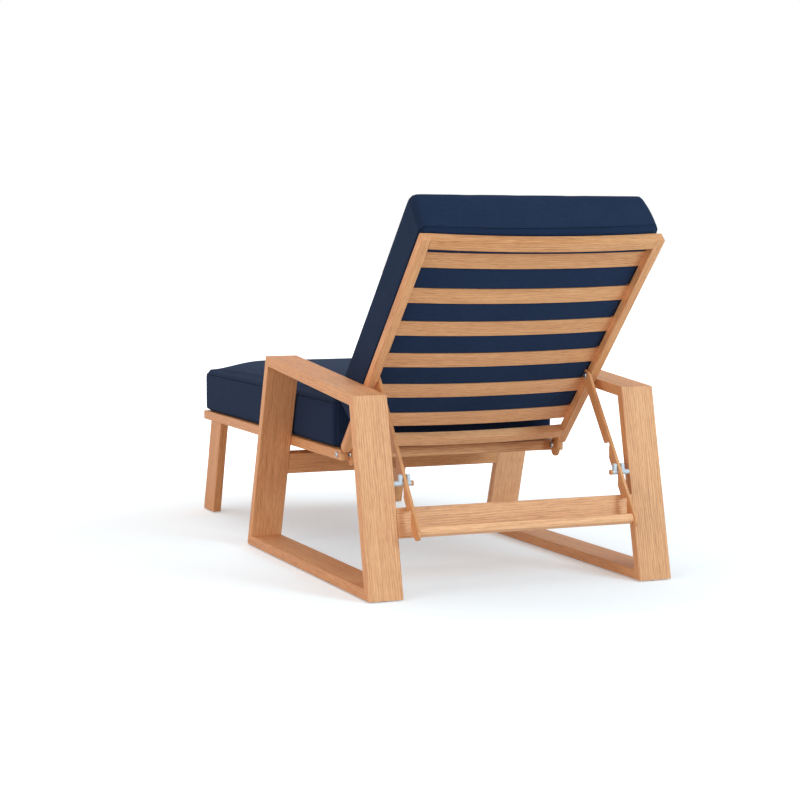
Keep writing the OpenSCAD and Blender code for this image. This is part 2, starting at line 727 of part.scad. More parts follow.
// The heel rounds the front edge at the cushion's lower end
function heel_share(e, t, r) =
  r == 0 || e > r ? 1 : (t - r + sqrt(max(0, r * r - pow(r - max(0, e), 2)))) / t;
module cushion(hx, hy, t, crown, heel_r) {
  side_levels = [
    [2 * piping_r, 0], [0, piping_r], [piping_r, 2 * piping_r],
    [piping_r - cushion_bulge, t / 2],
    [piping_r, t - 2 * piping_r], [0, t - piping_r], [piping_r, t]
  ];
  crown_levels = [for (s = crown_inset_shares) [s * hx, t]];
  levels = concat(side_levels, crown_levels);
  rings = [
    for (i = [0:len(levels) - 1])
      let(
        d = max(0, levels[i][0]),
        r = max(cushion_corner_r - d, cushion_corner_r / 4),
        top = i >= len(side_levels)
      )
      [for (p = ring_xy(hx - d, hy - d, r, cushion_draw * (1 - d / hx)))
        let(z = levels[i][1] + (top ? crown * shoulder(hx - abs(p.x)) * shoulder(hy - abs(p.y)) : 0))
        [p.x, p.y, z * heel_share(p.y + hy, t, heel_r)]]
  ];
  points = concat([for (ring = rings) each ring], [[0, 0, 0], [0, 0, t + crown]]);
  last = len(points) - 1;
  n = ring_count;
  m = len(rings);
  faces = concat(
    [for (i = [0:m - 2], j = [0:n - 1]) [i * n + j, (i + 1) * n + j, (i + 1) * n + (j + 1) % n]],
    [for (i = [0:m - 2], j = [0:n - 1]) [i * n + j, (i + 1) * n + (j + 1) % n, i * n + (j + 1) % n]],
    [for (j = [0:n - 1]) [last - 1, j, (j + 1) % n]],
    [for (j = [0:n - 1]) [last, (m - 1) * n + (j + 1) % n, (m - 1) * n + j]]
  );
  polyhedron(points = points, faces = faces);
}

seat_cushion_y0 = foot_y + cushion_side_inset;
module seat_cushion() color("MidnightBlue")
  translate([0, (seat_cushion_y0 + seat_cushion_rear_y) / 2, seat_top_z + cushion_gap])
  cushion(
    seat_half_w - cushion_side_inset,
    (seat_cushion_rear_y - seat_cushion_y0) / 2,
    seat_cushion_t, seat_crown, 0
  );
module back_cushion() color("MidnightBlue")
  back_place()
  translate([0, back_top_a + back_cushion_over - back_cushion_len / 2, slat_end_h + slat_t + cushion_gap])
  cushion(
    back_half_w - cushion_side_inset,
    back_cushion_len / 2,
    back_cushion_t, back_crown, back_cushion_heel_r
  );

loop_left_top();
loop_left_front();
loop_left_rear();
loop_left_floor();
loop_right_top();
loop_right_front();
loop_right_rear();
loop_right_floor();
glides_left();
glides_right();
glides_foot();
seat_rail_left();
seat_rail_right();
seat_foot_rail();
seat_cross_rail();
seat_ledge_left();
seat_ledge_right();
seat_slat_1();
seat_slat_2();
seat_slat_3();
seat_slat_4();
seat_slat_5();
seat_slat_6();
seat_slat_7();
foot_leg_left();
foot_leg_right();
seat_stretcher();
rear_stretcher();
peg_left();
peg_right();
sleeve_left();
sleeve_right();
frame_bolts();
hinge_lug_left();
hinge_lug_right();
hinge_bolts();
back_rail_left();
back_rail_right();
back_top_rail();
back_bottom_rail();
back_slat_1();
back_slat_2();
back_slat_3();
back_slat_4();
back_slat_5();
back_slat_6();
ear_left();
ear_right();
prop_bolts();
prop_arm_left();
prop_arm_right();
prop_crossbar();
seat_cushion();
back_cushion();
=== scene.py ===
import json
import math
from dataclasses import dataclass

import bpy
import numpy as np
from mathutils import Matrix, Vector
from mathutils.bvhtree import BVHTree


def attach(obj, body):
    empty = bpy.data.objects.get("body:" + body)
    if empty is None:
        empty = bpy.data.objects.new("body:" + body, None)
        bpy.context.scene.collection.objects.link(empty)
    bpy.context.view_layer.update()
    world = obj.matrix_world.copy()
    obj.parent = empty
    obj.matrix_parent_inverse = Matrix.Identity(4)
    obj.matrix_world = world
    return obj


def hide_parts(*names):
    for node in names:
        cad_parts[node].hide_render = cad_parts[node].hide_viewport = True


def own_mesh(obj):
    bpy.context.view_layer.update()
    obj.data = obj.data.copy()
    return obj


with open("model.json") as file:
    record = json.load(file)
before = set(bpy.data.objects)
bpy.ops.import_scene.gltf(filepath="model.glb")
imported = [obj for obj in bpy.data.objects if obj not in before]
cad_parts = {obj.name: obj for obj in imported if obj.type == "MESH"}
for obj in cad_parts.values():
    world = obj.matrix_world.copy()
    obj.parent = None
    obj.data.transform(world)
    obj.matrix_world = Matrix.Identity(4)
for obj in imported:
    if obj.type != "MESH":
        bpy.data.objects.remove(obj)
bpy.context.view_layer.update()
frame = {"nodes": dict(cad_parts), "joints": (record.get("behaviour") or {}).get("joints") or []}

# The studio. A pale floor that fades into a white surrounding, a cool soft box to the camera's
# right, a broad warm one to its left and a weak one overhead. The camera stands behind the
# lounge, at the height of its back.


class Wire:
    """A shader socket with arithmetic: sums, differences and products become Math nodes."""

    def __init__(self, tree, socket):
        self.tree = tree
        self.socket = socket

    def feed(self, **inputs):
        """Links wires to the inputs of this wire's node, or sets plain values on them.

        An input goes by its name, with _ for a space, or by its number as n0, n1 and so on."""
        sockets = self.socket.node.inputs
        for key, value in inputs.items():
            numbered = key[0] == "n" and key[1:].isdigit()
            socket = sockets[int(key[1:]) if numbered else key.replace("_", " ")]
            if isinstance(value, Wire):
                self.tree.links.new(value.socket, socket)
            else:
                socket.default_value = value

    def node(self, kind, settings=None, out=0, **inputs):
        """Adds a node: its settings first, then its inputs. out is its output, by name or number.

        The stops of a ramp are rows of a place and a red, green and blue."""
        made = self.tree.nodes.new(kind)
        for key, value in (settings or {}).items():
            if key == "stops":
                elements = made.color_ramp.elements
                while len(elements) < len(value):
                    elements.new(0.5)
                for element, (place, *colour) in zip(elements, value):
                    element.position = place
                    element.color = (*colour, 1)
            else:
                setattr(made, key, value)
        wire = Wire(self.tree, made.outputs[out])
        wire.feed(**inputs)
        return wire

    def math(self, operation, *values):
        """A Math node over its values, in order."""
        numbered = {f"n{i}": value for i, value in enumerate(values)}
        return self.node("ShaderNodeMath", {"operation": operation}, **numbered)

    def __add__(self, other):
        return self.math("ADD", self, other)

    __radd__ = __add__

    def __mul__(self, other):
        return self.math("MULTIPLY", self, other)

    __rmul__ = __mul__

    def __sub__(self, other):
        return self.math("SUBTRACT", self, other)

    def __rsub__(self, other):
        return self.math("SUBTRACT", other, self)

    def blend(self, share, first, second, mode="MIX"):
        """A colour between the first and the second, or their product, by a share from 0 to 1."""
        settings = {"data_type": "RGBA", "blend_type": mode}
        return self.node("ShaderNodeMix", settings, out=2, n0=share, n6=first, n7=second)

    def spot(self):
        """The place on the piece, as Object coordinates in metres."""
        return self.node("ShaderNodeTexCoord", out="Object")

    def grain(self, scale, detail=2.0, rough=0.5):
        """Noise over these coordinates, with its own scale in each direction."""
        stretched = self.node("ShaderNodeMapping", Vector=self, Scale=scale)
        return self.node("ShaderNodeTexNoise", Vector=stretched, Scale=1.0, Detail=detail, Roughness=rough)


def finish(name):
    """A new material, and a wire from its bare Principled shader, whose inputs are then fed."""
    material = bpy.data.materials.new(name)
    material.use_nodes = True
    tree = material.node_tree
    tree.nodes.clear()
    shader = tree.nodes.new("ShaderNodeBsdfPrincipled")
    out = tree.nodes.new("ShaderNodeOutputMaterial")
    tree.links.new(shader.outputs[0], out.inputs[0])
    return material, Wire(tree, shader.outputs[0])


def looked_at(wire):
    """1 where the camera sees the floor or the sky, also in a gloss or through glass, else 0."""
    rays = ("Is Camera Ray", "Is Glossy Ray", "Is Transmission Ray")
    straight, mirrored, through = (wire.node("ShaderNodeLightPath", out=ray) for ray in rays)
    return wire.math("MINIMUM", straight + mirrored + through, 1.0)


def mesh_piece(name, verts, faces):
    """A smooth piece at the origin from arrays of points and of faces."""
    mesh = bpy.data.meshes.new(name)
    mesh.from_pydata(np.asarray(verts).tolist(), [], [tuple(int(i) for i in face) for face in faces])
    mesh.polygons.foreach_set("use_smooth", np.full(len(mesh.polygons), True))
    mesh.update()
    piece = bpy.data.objects.new(name, mesh)
    bpy.context.scene.collection.objects.link(piece)
    return piece


floor_paint, shader = finish("floor_paint")
from_middle = shader.node("ShaderNodeVectorMath", {"operation": "LENGTH"}, out="Value", n0=shader.spot())
shadow_end, white_start = 0.9, 2.2
far = shader.node(
    "ShaderNodeMapRange", {"interpolation_type": "SMOOTHSTEP"},
    Value=from_middle, From_Min=shadow_end, From_Max=white_start,
)
shadow_glow = 0.30
glow = (far * (1 - shadow_glow) + shadow_glow) * looked_at(shader)
shader.feed(
    Base_Color=(0.80, 0.83, 0.85, 1), Roughness=1.0, Specular_IOR_Level=0.0, Emission_Strength=1.0,
    Emission_Color=shader.node("ShaderNodeCombineColor", Red=glow, Green=glow, Blue=glow),
)
reach = 40.0
floor_corners = [(-reach, -reach, 0), (reach, -reach, 0), (reach, reach, 0), (-reach, reach, 0)]
floor = mesh_piece("floor", floor_corners, [(0, 1, 2, 3)])
floor.data.materials.append(floor_paint)

world = bpy.data.worlds.new("studio")
bpy.context.scene.world = world
world.use_nodes = True
world.node_tree.nodes.clear()
background = world.node_tree.nodes.new("ShaderNodeBackground")
sky_out = world.node_tree.nodes.new("ShaderNodeOutputWorld")
world.node_tree.links.new(background.outputs[0], sky_out.inputs[0])
sky = Wire(world.node_tree, background.outputs[0])
sky_light = 0.62
sky.feed(Color=(1, 1, 1, 1), Strength=looked_at(sky) * (1 - sky_light) + sky_light)


def softbox(name, place, aim, size, watts, colour):
    """A square area light at a place, turned to a point."""
    lamp = bpy.data.lights.new(name, "AREA")
    lamp.size = size
    lamp.energy = watts
    lamp.color = colour
    holder = bpy.data.objects.new(name, lamp)
    holder.location = place
    holder.rotation_euler = (Vector(aim) - Vector(place)).to_track_quat("-Z", "Y").to_euler()
    bpy.context.scene.collection.objects.link(holder)


cool, warm, neutral = (0.51, 0.83, 1.0), (1.0, 0.93, 0.84), (0.97, 0.98, 1.0)
softbox("key", place=(-2.3, 5.0, 2.2), aim=(0, 0.3, 0.3), size=1.8, watts=172, colour=cool)
softbox("fill", place=(6.5, 3.0, 1.6), aim=(0, 0.0, 0.4), size=4.0, watts=138, colour=warm)
softbox("top", place=(0.4, -1.0, 4.2), aim=(0, -0.2, 0.3), size=3.0, watts=42, colour=neutral)

view = bpy.data.cameras.new("view")
view.lens = 84.0
view.sensor_width = 36.0
camera = bpy.data.objects.new("view", view)
camera.location = (1.9508, 4.6917, 0.8332)
view_line = Vector((-0.3808, -0.9207, -0.0855))
camera.rotation_euler = view_line.to_track_quat("-Z", "Y").to_euler()
bpy.context.scene.collection.objects.link(camera)
bpy.context.scene.camera = camera
bpy.context.scene.view_settings.view_transform = "Standard"

# The loop sides: four boards each, sawn with the grain along them, mitred in the corners and
# finished with a thin satin oil. Each board has its own cut of the grain.
fine_rings, wide_rings = 0.0046, 0.0085


def timber(name, along, tone_and_painted_light=0.0, cut=0.0, pitch=fine_rings):
    """Oiled wood whose grain runs along a direction, made lighter by a shift of its colour stops, cut
    elsewhere by its cut. On some boards that shift is the board's own. On others it is painted light that
    lifts a board standing in shade, and on others again painted shade that darkens a well lit board.

    The pattern is a noise stretched far along the board for the broad bands, finer ones for the
    streaks and fibres, a sine across it, one wave per pitch and bent by noise, for the growth
    rings, and a noise cut off high for the short dark pores. A ramp over their weighted sum gives
    the colour."""
    material, shader = finish(name)
    board = shader.node(
        "ShaderNodeMapping", Vector=shader.spot(), Location=(cut * 1.7, cut * 0.31, cut * 0.53),
        Rotation=Vector(along).normalized().rotation_difference(Vector((1, 0, 0))).to_euler(),
    )
    bands = board.grain((1.3, 30.0, 30.0), rough=0.55)
    streaks = board.grain((8.0, 420.0, 420.0), rough=0.55)
    fibres = board.grain((26.0, 700.0, 700.0), rough=0.6)
    specks = board.grain((50.0, 620.0, 620.0), detail=1.0, rough=0.55)
    pores = shader.node("ShaderNodeMapRange", Value=specks, From_Min=0.52, From_Max=0.70)
    depth = shader.node(
        "ShaderNodeVectorMath", {"operation": "DOT_PRODUCT"}, out="Value",
        n0=board, n1=(0.012, 1.0, 1.0),
    )
    bent = 9.0 * board.grain((16.0, 120.0, 120.0), rough=0.55)
    rings = shader.math("SINE", depth * (2 * math.pi / pitch) + bent)
    figure = 0.20 * bands + 0.42 * streaks + 0.36 * fibres + 0.065 * rings + 0.01
    stops = [
        (0.30, 0.452 + tone_and_painted_light, 0.174 + tone_and_painted_light * 0.6, 0.065 + tone_and_painted_light * 0.4),
        (0.44, 0.634 + tone_and_painted_light, 0.269 + tone_and_painted_light * 0.7, 0.109 + tone_and_painted_light * 0.5),
        (0.54, 0.730 + tone_and_painted_light, 0.334 + tone_and_painted_light * 0.7, 0.143 + tone_and_painted_light * 0.5),
        (0.70, 0.826 + tone_and_painted_light, 0.418 + tone_and_painted_light * 0.7, 0.197 + tone_and_painted_light * 0.5),
    ]
    wood = shader.node("ShaderNodeValToRGB", {"stops": stops}, Fac=figure)
    pore_brown = (0.66, 0.50, 0.40, 1)
    relief = 0.6 * fibres + 0.4 * streaks - 0.8 * pores
    shader.feed(
        Base_Color=shader.blend(pores * 0.36, wood, pore_brown, "MULTIPLY"),
        Roughness=0.48 + 0.16 * streaks, Specular_IOR_Level=0.36,
        Normal=shader.node("ShaderNodeBump", Strength=0.35, Distance=0.0006, Height=relief),
    )
    return material


def dress(node, material):
    """Gives a CAD node one material."""
    target = frame["nodes"][node]
    if not target.material_slots:
        target.data.materials.append(material)
    for place in target.material_slots:
        place.material = material


sides = ("left", "right")
front_run = (0, 0.1695, 0.525)
rear_run = (0, -0.1035, 0.468)
armrest_run = (0, 0.636, -0.057)
lengthways = (0, 1, 0)
# The right front board is made 0.11 lighter. This is painted light: it stands in for the light that the
# floor throws on its face under the seat.
for k, side in enumerate(sides):
    dress(f"loop_{side}_front", timber(f"oak_front_{side}", front_run, tone_and_painted_light=0.11 * k, cut=1.1 + k))
    dress(f"loop_{side}_rear", timber(f"oak_rear_{side}", rear_run, tone_and_painted_light=0.03, cut=3.3 + k))
    dress(f"loop_{side}_top", timber(f"oak_top_{side}", armrest_run, cut=5.7 + k))
    dress(f"loop_{side}_floor", timber(f"oak_floor_{side}", lengthways, tone_and_painted_light=-0.01, cut=7.9 + k))

# The glides: small discs of black moulded plastic, slightly mottled, pressed under the loops'
# floor boards and the foot legs.
glide_plastic, shader = finish("glide_plastic")
speck = shader.spot().grain((900.0, 900.0, 900.0))
shader.feed(
    Base_Color=shader.blend(speck, (0.010, 0.010, 0.011, 1), (0.028, 0.028, 0.030, 1)),
    Roughness=0.55 + 0.1 * speck,
)
for node in ("glides_left", "glides_right", "glides_foot"):
    dress(node, glide_plastic)

# The seat frame: long side rails, cross rails, ledges and flat slats of the same oiled wood,
# bolted at the cross rail. The slanted foot legs are single boards under the side rails.
foot_run = (0, 0.086, 0.279)
crossways = (1, 0.001, 0)
# The foot legs are made 0.05 darker. This is painted shade: it takes back part of the light that the warm
# soft box throws on them.
for k, side in enumerate(sides):
    dress(f"seat_rail_{side}", timber(f"oak_seat_rail_{side}", lengthways, cut=11.3 + k))
    dress(f"seat_ledge_{side}", timber(f"oak_ledge_{side}", lengthways, cut=13.1 + k))
    dress(f"foot_leg_{side}", timber(f"oak_foot_leg_{side}", foot_run, tone_and_painted_light=-0.05, cut=15.2 + k))
dress("seat_foot_rail", timber("oak_foot_rail", crossways, cut=17.4))
dress("seat_cross_rail", timber("oak_cross_rail", crossways, tone_and_painted_light=-0.01, cut=18.8))
for i in range(1, 8):
    tone_and_painted_light, cut = 0.01 * (i % 3 - 1), 20.0 + i * 0.9
    slat_wood = timber(f"oak_seat_slat_{i}", crossways, tone_and_painted_light, cut)
    dress(f"seat_slat_{i}", slat_wood)

# The stretchers: one board between the loops' front boards and one between their rear boards,
# of the same wood, fixed to them at both ends.
dress("seat_stretcher", timber("oak_seat_stretcher", crossways, tone_and_painted_light=-0.01, cut=31.2))
dress("rear_stretcher", timber("oak_rear_stretcher", crossways, tone_and_painted_light=0.05, cut=33.6))

# The bolts and hinge pins: plain turned steel with domed heads, dulled by the weather. The
# hinge pins sit in two wooden lugs on the cross rail.
bolt_steel, shader = finish("bolt_steel")
brushed = shader.spot().grain((300.0, 1400.0, 1400.0), detail=3.0)
shader.feed(
    Base_Color=shader.blend(brushed, (0.26, 0.26, 0.2652, 1), (0.52, 0.52, 0.5304, 1)),
    Metallic=1.0, Roughness=0.26 + 0.18 * brushed,
)
for node in ("frame_bolts", "hinge_bolts", "prop_bolts"):
    dress(node, bolt_steel)
# The lugs are made 0.09 darker. This is painted shade, for the shade they sit in under the back frame.
for k, side in enumerate(sides):
    dress(f"hinge_lug_{side}", timber(f"oak_lug_{side}", lengthways, tone_and_painted_light=-0.09, cut=35.0 + k))

# The pegs that carry the prop: turned wooden dowels with a button, each in a sleeve of pale
# moulded plastic, in the loops' rear boards.
sleeve_plastic, shader = finish("sleeve_plastic")
cloud = shader.spot().grain((900.0, 900.0, 900.0), detail=3.0)
shader.feed(
    Base_Color=shader.blend(cloud, (0.50, 0.52, 0.54, 1), (0.62, 0.64, 0.66, 1)),
    Roughness=0.34 + 0.12 * cloud, Subsurface_Weight=0.15, Subsurface_Radius=(0.004, 0.004, 0.004),
)
for k, side in enumerate(sides):
    dress(f"peg_{side}", timber(f"oak_peg_{side}", crossways, tone_and_painted_light=-0.04, cut=41.0 + k))
    dress(f"sleeve_{side}", sleeve_plastic)

# The back frame: straight side rails, and rails and slats that are sawn to a slight bow and let
# into them. Two thin ears of the same wood turn on the hinge pins.
back_angle = math.radians(46.5)
back_run = Vector((0, math.cos(back_angle), math.sin(back_angle)))
upright = (0, 0, 1)
# The ears are made 0.09 darker. This is painted shade, for the shade they stand in below the back frame.
for k, side in enumerate(sides):
    dress(f"back_rail_{side}", timber(f"oak_back_rail_{side}", back_run, cut=45.0 + k))
    dress(f"ear_{side}", timber(f"oak_ear_{side}", upright, tone_and_painted_light=-0.09, cut=47.0 + k))
# The top rail is made 0.03 darker: painted shade, where it gets more light than the slats. The bottom rail
# is made 0.07 lighter and each slat 0.012 lighter than the one above it: painted light for the lower back,
# which gets less light.
dress("back_top_rail", timber("oak_top_rail", crossways, tone_and_painted_light=-0.03, cut=49.3, pitch=wide_rings))
dress("back_bottom_rail", timber("oak_bottom_rail", crossways, tone_and_painted_light=0.07, cut=50.9, pitch=wide_rings))
for i in range(1, 7):
    tone_and_painted_light, cut = 0.012 * (i - 2), 52.0 + i * 1.3
    slat_wood = timber(f"oak_back_slat_{i}", crossways, tone_and_painted_light, cut, wide_rings)
    dress(f"back_slat_{i}", slat_wood)

# The prop: two thin arms of the same wood with sawn notches, and a crossbar between them. It
# hangs from two steel pins in the back's side rails.
prop_angle = math.radians(53.9)
prop_run = (0, math.cos(prop_angle), -math.sin(prop_angle))
for k, side in enumerate(sides):
    dress(f"prop_arm_{side}", timber(f"oak_prop_arm_{side}", prop_run, tone_and_painted_light=-0.04, cut=61.0 + k))
# The crossbar is made 0.14 lighter. This is painted light on a bar that stands in shade, low under the
# back.
dress("prop_crossbar", timber("oak_crossbar", crossways, tone_and_painted_light=0.14, cut=63.7))

# The seat cushion: foam in a boxed cover of navy woven cloth. The cover has a top and a bottom
# panel and a band round the sides, joined by two narrow rolled seams, and lies on the slats.


@dataclass
class Cushion:
    """A boxed cushion: its sizes in metres as it lies level about the origin, and its place."""

    name: str
    half_x: float
    half_y: float
    thick: float
    crown: float  # how far the middle stands above the edge of the upper panel
    draw: float  # how far each side pulls in between its corners
    foot: float  # radius of the underside's edge
    bend: object  # the function that gives the form what only this cushion has
    turned: float  # the angle about X at which it lies
    origin: tuple

    brow = 0.010  # radius of the upper edge
    corner = 0.018  # radius of the four upright corners

    def crown_at(self, x, y):
        """Height of the crown: the product of two sines that rise over a shoulder from each side."""
        shoulder = 0.15
        from_side = np.clip((self.half_x - np.abs(x)) / shoulder, 0, 1)
        from_end = np.clip((self.half_y - np.abs(y)) / shoulder, 0, 1)
        return self.crown * np.sin(math.pi / 2 * from_side) * np.sin(math.pi / 2 * from_end)

    def seam_heights(self):
        """Heights of the lower and the upper rolled seam."""
        foot_share, below_top = 0.45, 0.0045
        return foot_share * self.foot, self.thick - below_top

    def corner_places(self):
        """Where the four upright corners stand, just inside their round edges."""
        inset = 0.3 * self.corner
        across, along = self.half_x - inset, self.half_y - inset
        return [(across, along), (across, -along), (-across, along), (-across, -along)]

    def laid(self, points):
        """Points turned about X and moved to where the cushion lies."""
        c, s = math.cos(self.turned), math.sin(self.turned)
        x, y, z = points.T
        across, along, up = self.origin
        return np.column_stack([x + across, c * y - s * z + along, s * y + c * z + up])


def outline(half_x, half_y, radius, draw, side=24, corner=6):
    """Points round a rectangle with rounded corners, evenly shared over each corner and side.

    Along each side the outline is drawn in by draw times the sine of the way along it."""
    centres = np.array([(1, 1), (-1, 1), (-1, -1), (1, -1)]) * np.array([half_x - radius, half_y - radius])
    way = (np.arange(1, side) / side)[:, None]
    points = []
    for k in range(4):
        here, ahead = centres[k], centres[(k + 1) % 4]
        turn = math.pi / 2 * (k + np.arange(corner + 1) / corner)
        points.append(here + radius * np.column_stack([np.cos(turn), np.sin(turn)]))
        out = np.array([math.cos(math.pi / 2 * (k + 1)), math.sin(math.pi / 2 * (k + 1))])
        points.append((1 - way) * here + way * ahead + (radius - draw * np.sin(math.pi * way)) * out)
    return np.concatenate(points)


def block_form(pad):
    """The start shape of a cushion, as rings of points from its underside up over its crown.

    Each level is how far in from the sides its ring lies, and how high. The edge of the
    underside is a quarter circle of radius foot and that of the top one of radius brow."""
    foot, brow, thick = pad.foot, pad.brow, pad.thick
    least_corner = 0.2 * pad.corner
    ways_in = (0.06, 0.12, 0.2, 0.3, 0.42, 0.56, 0.72, 0.88)
    arc = np.linspace(0, math.pi / 2, 4)
    levels = [(way * pad.half_x, 0.0) for way in reversed(ways_in)]
    levels += [(foot - foot * math.sin(a), foot - foot * math.cos(a)) for a in arc]
    levels += [(0.0, thick * share) for share in (0.2, 0.4, 0.6, 0.8)]
    levels += [(brow - brow * math.cos(a), thick - brow + brow * math.sin(a)) for a in arc]
    levels += [(way * pad.half_x, thick) for way in ways_in]
    rings = []
    for i, (inset, height) in enumerate(levels):
        radius = max(pad.corner - inset, least_corner)
        draw = pad.draw * (1 - inset / pad.half_x)
        x, y = outline(pad.half_x - inset, pad.half_y - inset, radius, draw).T
        rise = pad.crown_at(x, y) if i >= len(levels) - len(ways_in) else 0 * x
        rings.append(np.column_stack([x, y, height + rise]))
    middles = np.array([[0, 0, 0.0], [0, 0, thick + pad.crown]])
    points = np.concatenate(rings + [middles])
    around = len(rings[0])
    j = np.arange(around)
    k = (j + 1) % around
    starts = [i * around for i in range(len(rings))]
    bands = [np.column_stack([a + j, a + k, b + k, b + j]) for a, b in zip(starts, starts[1:])]
    faces = np.concatenate(bands).tolist()
    faces += [(len(points) - 2, b, a) for a, b in zip(j, k)]
    faces += [(len(points) - 1, starts[-1] + a, starts[-1] + b) for a, b in zip(j, k)]
    return points, faces


def rows_of(piece, what):
    """The points of a piece's mesh, as "co", or the ways they face, as "normal", in rows."""
    flat = np.empty(len(piece.data.vertices) * 3)
    piece.data.vertices.foreach_get(what, flat)
    return flat.reshape(-1, 3)


def apply(piece, kind, **settings):
    """Adds a modifier with its settings and makes it part of the mesh."""
    modifier = piece.modifiers.new(kind.lower(), kind)
    for key, value in settings.items():
        setattr(modifier, key, value)
    bpy.context.view_layer.objects.active = piece
    bpy.ops.object.modifier_apply(modifier=modifier.name)


def plump(piece, voxel):
    """Fills a cushion: its cover is remeshed and then blown up as cloth under inner pressure.

    Each point goes out along its own direction by what the cloth did, never in and never past
    the limit, and slides by a share of what the cloth did sideways."""
    limit, slide_share, last_frame = 0.009, 0.25, 20
    apply(piece, "REMESH", mode="VOXEL", voxel_size=voxel)
    start, faced = rows_of(piece, "co"), rows_of(piece, "normal")
    cloth = piece.modifiers.new("cover", "CLOTH")
    cloth.settings.quality = 5
    cloth.settings.mass = 0.4
    cloth.settings.tension_stiffness = 20
    cloth.settings.compression_stiffness = 14
    cloth.settings.bending_stiffness = 2.0
    cloth.settings.use_pressure = True
    cloth.settings.uniform_pressure_force = 4.0
    cloth.settings.effector_weights.gravity = 0.0
    cloth.collision_settings.use_collision = False
    cloth.point_cache.frame_start = 1
    cloth.point_cache.frame_end = last_frame
    for f in range(1, last_frame + 1):
        bpy.context.scene.frame_set(f)
    bpy.context.view_layer.objects.active = piece
    bpy.ops.object.modifier_apply(modifier="cover")
    bpy.context.scene.frame_set(1)
    move = rows_of(piece, "co") - start
    out = (move * faced).sum(1, keepdims=True)
    slide = move - out * faced
    filled = start + faced * np.clip(out, 0, limit) + slide * slide_share
    piece.data.vertices.foreach_set("co", filled.ravel())
    apply(piece, "SMOOTH", factor=0.5, iterations=1)
    apply(piece, "SUBSURF", levels=1, render_levels=1)


def ease(value, low, high):
    """Smooth step from 0 at low to 1 at high."""
    t = np.clip((value - low) / (high - low), 0, 1)
    return t * t * (3 - 2 * t)


def trim(pad, points):
    """Holds a filled cover to the cushion's own sizes, with a little room for the cloth."""
    side_room, end_room, top_room = 0.0012, 0.003, 0.004
    x, y, z = points.T
    x = np.sign(x) * np.minimum(np.abs(x), pad.half_x + side_room)
    y = np.sign(y) * np.minimum(np.abs(y), pad.half_y + end_room)
    z = np.minimum(np.maximum(z, 0), pad.thick + pad.crown_at(x, y) + top_room)
    return np.column_stack([x, y, z])


def sink_seams(pad, points, faced):
    """Draws the cover in along its seams: a bell curve across each, deepest under the seam."""
    seam_width, corner_width, depth = 0.003, 0.004, 0.0016
    rim_width, rim_end = 0.008, 0.016
    x, y, z = points.T
    low, high = pad.seam_heights()
    rim = 1 - ease(np.minimum(pad.half_x - np.abs(x), pad.half_y - np.abs(y)), rim_width, rim_end)
    low_bell = np.exp(-(((z - low) / seam_width) ** 2))
    high_bell = np.exp(-(((z - high) / seam_width) ** 2))
    away = np.min([np.hypot(x - cx, y - cy) for cx, cy in pad.corner_places()], axis=0)
    corner_bell = np.exp(-((away / corner_width) ** 2)) * (z > low) * (z < high)
    valley = rim * (low_bell + high_bell) + corner_bell
    return points - faced * np.minimum(valley, 1)[:, None] * depth


def navy_cloth(name, turned):
    """Woven cloth: crossed thread waves for the bump, and slubs that vary the navy."""
    material, shader = finish(name)
    laid = shader.node("ShaderNodeMapping", Vector=shader.spot(), Rotation=turned)
    weft = laid.grain((60.0, 900.0, 900.0))
    warp = laid.grain((900.0, 60.0, 900.0))
    upright_slub = laid.grain((800.0, 800.0, 50.0))
    cloud = laid.grain((9.0, 9.0, 9.0))
    slubs = 0.34 * weft + 0.33 * warp + 0.33 * upright_slub
    stops = [
        (0.32, 0.0094, 0.0170, 0.0405),
        (0.50, 0.0134, 0.0236, 0.0530),
        (0.68, 0.0198, 0.0330, 0.0700),
    ]
    navy = shader.node("ShaderNodeValToRGB", {"stops": stops}, Fac=0.82 * slubs + 0.18 * cloud)
    threads, picks, rows = (
        shader.node(
            "ShaderNodeTexWave", {"bands_direction": axis}, out="Fac",
            Vector=laid, Scale=260.0, Distortion=0.6,
        )
        for axis in "XYZ"
    )
    weave = 0.4 * threads + 0.4 * picks + 0.4 * rows + 0.6 * slubs
    shader.feed(
        Base_Color=navy, Roughness=0.86 + 0.08 * cloud, Specular_IOR_Level=0.05,
        Sheen_Weight=0.05, Sheen_Roughness=0.5, Sheen_Tint=(0.55, 0.66, 0.90, 1),
        Normal=shader.node("ShaderNodeBump", Strength=0.30, Distance=0.0005, Height=weave),
    )
    return material


def tube(path, radius, closed):
    """A seam roll or a near-black thread, which also paints a seam's shade: a circle of points carried
    along a path, as points and faces.

    Where the path is closed it runs level, and otherwise up a corner."""
    sides_round = 8
    if closed:
        ahead = np.roll(path, -1, 0) - np.roll(path, 1, 0)
    else:
        ahead = np.gradient(path, axis=0)
    ahead /= np.linalg.norm(ahead, axis=1, keepdims=True)
    up = np.array([0.0, 0.0, 1.0]) if closed else np.array([0.6, 0.8, 0.0])
    side = np.cross(ahead, up)
    side /= np.linalg.norm(side, axis=1, keepdims=True)
    rise = np.cross(side, ahead)
    turn = np.linspace(0, 2 * math.pi, sides_round + 1)[:-1]
    ring_side = radius * np.cos(turn)[None, :, None] * side[:, None, :]
    ring_rise = radius * np.sin(turn)[None, :, None] * rise[:, None, :]
    verts = (path[:, None, :] + ring_side + ring_rise).reshape(-1, 3)
    n = len(path)
    i, j = np.meshgrid(np.arange(n if closed else n - 1), np.arange(sides_round), indexing="ij")
    here, ahead_row = i * sides_round, (i + 1) % n * sides_round
    j_next = (j + 1) % sides_round
    faces = np.stack([here + j, ahead_row + j, ahead_row + j_next, here + j_next], -1).reshape(-1, 4)
    return verts, faces


